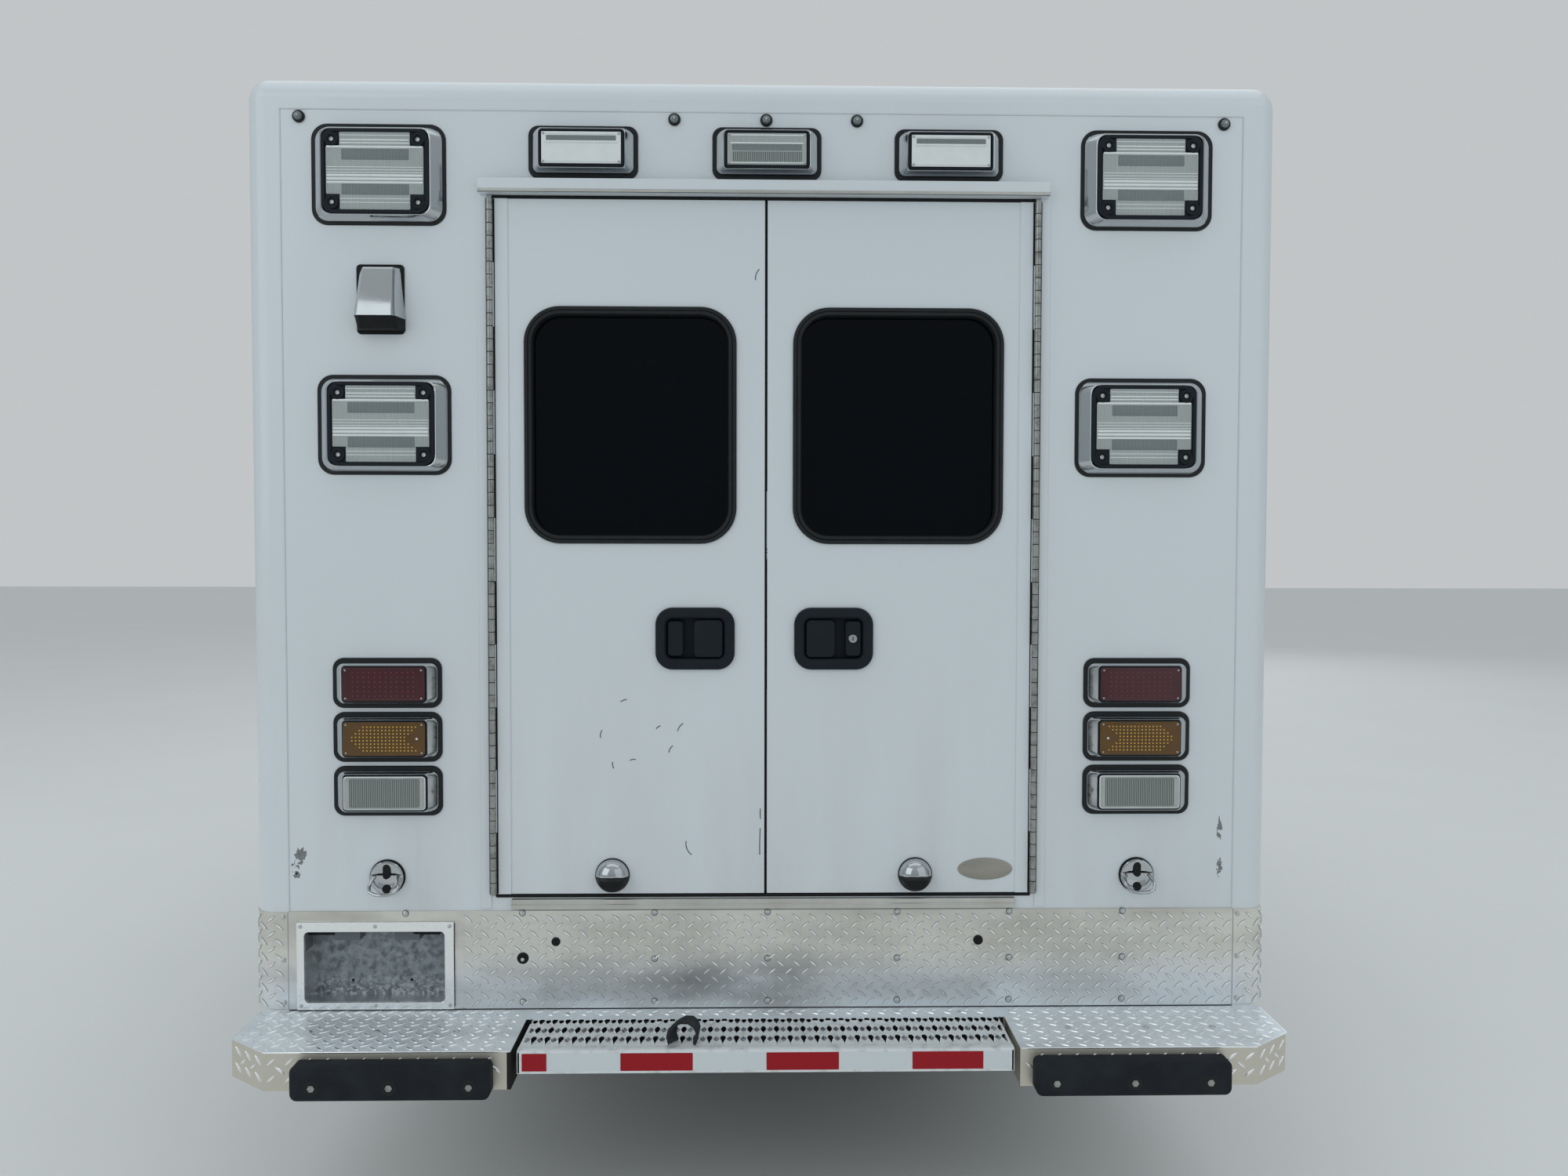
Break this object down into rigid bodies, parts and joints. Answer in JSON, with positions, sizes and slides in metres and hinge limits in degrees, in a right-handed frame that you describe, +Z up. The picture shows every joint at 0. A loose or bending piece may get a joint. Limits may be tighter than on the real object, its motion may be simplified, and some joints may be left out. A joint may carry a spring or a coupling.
{
  "type": "ambulance",
  "caption": "Box-module ambulance on a cutaway van chassis with opening doors, lockers, hood, flip-up rear step, steering and turning wheels.",
  "frame": {"origin": "on the ground at the middle of the vehicle's outline, below the centreline", "axes": "+Y forward, +X to the vehicle's right, +Z up"},
  "size_m": [2.6, 6.27, 2.559],
  "materials": {
    "frame_paint": "matt black",
    "engine_iron": "cast",
    "exhaust_steel": "heat dulled",
    "tank_steel": "satin black",
    "white_paint": "gloss white",
    "cabinet_laminate": "satin laminate",
    "floor_vinyl": "vinyl on aluminium",
    "vinyl_pad": "padded vinyl",
    "seat_cloth": "woven cloth",
    "tread_plate": "bright tread plate",
    "chrome": "polished",
    "lamp_clear": "clear lens in a chrome frame",
    "dark_glass": "tinted",
    "clear_glass": "clear",
    "black_plastic": "moulded",
    "black_rubber": "matt",
    "tyre": "matt",
    "wheel_steel": "polished",
    "galvanised": "bright"
  },
  "bodies": {
    "chassis": {"frame_rail_left": "frame_paint", "frame_rail_right": "frame_paint", "frame_crossmembers": "frame_paint", "powertrain": "engine_iron", "exhaust": "exhaust_steel", "fuel_tank": "tank_steel", "rear_axle": "frame_paint", "front_axle": "frame_paint", "module_roof": "white_paint", "module_rear_wall": "white_paint", "module_front_wall": "white_paint", "module_left_wall": "white_paint", "module_right_wall": "white_paint", "side_window": "dark_glass", "module_floor": "floor_vinyl", "left_cabinets": "cabinet_laminate", "right_cabinets": "cabinet_laminate", "bench_cushions": "vinyl_pad", "kick_plate": "tread_plate", "rear_fittings": "galvanised", "rear_lamps": "lamp_clear", "body_lamps": "lamp_clear", "rear_bumper": "tread_plate", "bumper_pads": "black_rubber", "side_trim": "black_rubber", "cab_body": "white_paint", "windshield": "clear_glass", "grille": "black_plastic", "headlamps": "lamp_clear", "front_bumper": "chrome", "dashboard": "black_plastic", "cab_seats": "seat_cloth"},
    "rear_door_left_leaf": {"rear_door_left": "white_paint", "rear_door_left_fittings": "black_plastic", "rear_door_left_glass": "dark_glass"},
    "rear_door_right_leaf": {"rear_door_right": "white_paint", "rear_door_right_fittings": "black_plastic", "rear_door_right_glass": "dark_glass"},
    "entry_door_leaf": {"entry_door": "white_paint", "entry_door_glass": "dark_glass"},
    "left_front_locker_leaf": {"left_front_locker_door": "white_paint"},
    "left_rear_locker_leaf": {"left_rear_locker_door": "white_paint"},
    "right_rear_locker_leaf": {"right_rear_locker_door": "white_paint"},
    "cab_door_left_leaf": {"cab_door_left": "white_paint", "cab_door_left_glass": "clear_glass"},
    "cab_door_right_leaf": {"cab_door_right": "white_paint", "cab_door_right_glass": "clear_glass"},
    "hood_lid": {"hood": "white_paint"},
    "step_frame": {"rear_step": "tread_plate", "step_strap": "black_rubber"},
    "steer_left_upright": {"knuckle_left": "engine_iron"},
    "steer_right_upright": {"knuckle_right": "engine_iron"},
    "front_left_wheel": {"front_left_tyre": "tyre", "front_left_rim": "wheel_steel"},
    "front_right_wheel": {"front_right_tyre": "tyre", "front_right_rim": "wheel_steel"},
    "rear_left_wheels": {"rear_left_tyres": "tyre", "rear_left_rims": "wheel_steel"},
    "rear_right_wheels": {"rear_right_tyres": "tyre", "rear_right_rims": "wheel_steel"}
  },
  "joints": [
    {"name": "rear_door_left_hinge", "type": "hinge", "parent": "chassis", "child": "rear_door_left_leaf", "pos_m": [-0.604, -2.8575, 1.52], "axis": [0, 0, -1], "range_deg": [0, 150]},
    {"name": "rear_door_right_hinge", "type": "hinge", "parent": "chassis", "child": "rear_door_right_leaf", "pos_m": [0.604, -2.8575, 1.52], "axis": [0, 0, 1], "range_deg": [0, 150]},
    {"name": "entry_door_hinge", "type": "hinge", "parent": "chassis", "child": "entry_door_leaf", "pos_m": [1.1525, 0.27925, 1.4], "axis": [0, 0, 1], "range_deg": [0, 110]},
    {"name": "left_front_locker_hinge", "type": "hinge", "parent": "chassis", "child": "left_front_locker_leaf", "pos_m": [-1.1525, 0.74925, 1.36], "axis": [0, 0, -1], "range_deg": [0, 110]},
    {"name": "left_rear_locker_hinge", "type": "hinge", "parent": "chassis", "child": "left_rear_locker_leaf", "pos_m": [-1.1525, -1.72075, 1.08], "axis": [0, 0, -1], "range_deg": [0, 110]},
    {"name": "right_rear_locker_hinge", "type": "hinge", "parent": "chassis", "child": "right_rear_locker_leaf", "pos_m": [1.1525, -1.72075, 1.08], "axis": [0, 0, 1], "range_deg": [0, 110]},
    {"name": "cab_door_left_hinge", "type": "hinge", "parent": "chassis", "child": "cab_door_left_leaf", "pos_m": [-1.016, 1.93925, 0.9], "axis": [0, 0, -1], "range_deg": [0, 65]},
    {"name": "cab_door_right_hinge", "type": "hinge", "parent": "chassis", "child": "cab_door_right_leaf", "pos_m": [1.016, 1.93925, 0.9], "axis": [0, 0, 1], "range_deg": [0, 65]},
    {"name": "hood_hinge", "type": "hinge", "parent": "chassis", "child": "hood_lid", "pos_m": [0, 2.266, 1.424], "axis": [1, 0, 0], "range_deg": [0, 55]},
    {"name": "rear_step_hinge", "type": "hinge", "parent": "chassis", "child": "step_frame", "pos_m": [0.005, -2.92, 0.482], "axis": [-1, 0, 0], "range_deg": [0, 90]},
    {"name": "steer_left", "type": "hinge", "parent": "chassis", "child": "steer_left_upright", "pos_m": [-0.82, 2.385, 0.372], "axis": [0, 0, 1], "range_deg": [-30, 30]},
    {"name": "steer_right", "type": "hinge", "parent": "chassis", "child": "steer_right_upright", "pos_m": [0.82, 2.385, 0.372], "axis": [0, 0, 1], "range_deg": [-30, 30]},
    {"name": "front_left_spin", "type": "hinge", "parent": "steer_left_upright", "child": "front_left_wheel", "pos_m": [-0.881, 2.385, 0.372], "axis": [1, 0, 0], "continuous": true},
    {"name": "front_right_spin", "type": "hinge", "parent": "steer_right_upright", "child": "front_right_wheel", "pos_m": [0.881, 2.385, 0.372], "axis": [1, 0, 0], "continuous": true},
    {"name": "rear_left_spin", "type": "hinge", "parent": "chassis", "child": "rear_left_wheels", "pos_m": [-0.93, -1.12, 0.372], "axis": [1, 0, 0], "continuous": true},
    {"name": "rear_right_spin", "type": "hinge", "parent": "chassis", "child": "rear_right_wheels", "pos_m": [0.93, -1.12, 0.372], "axis": [1, 0, 0], "continuous": true}
  ],
  "couplings": [
    {"joint": "steer_right", "follows": "steer_left", "ratio": 1}
  ]
}
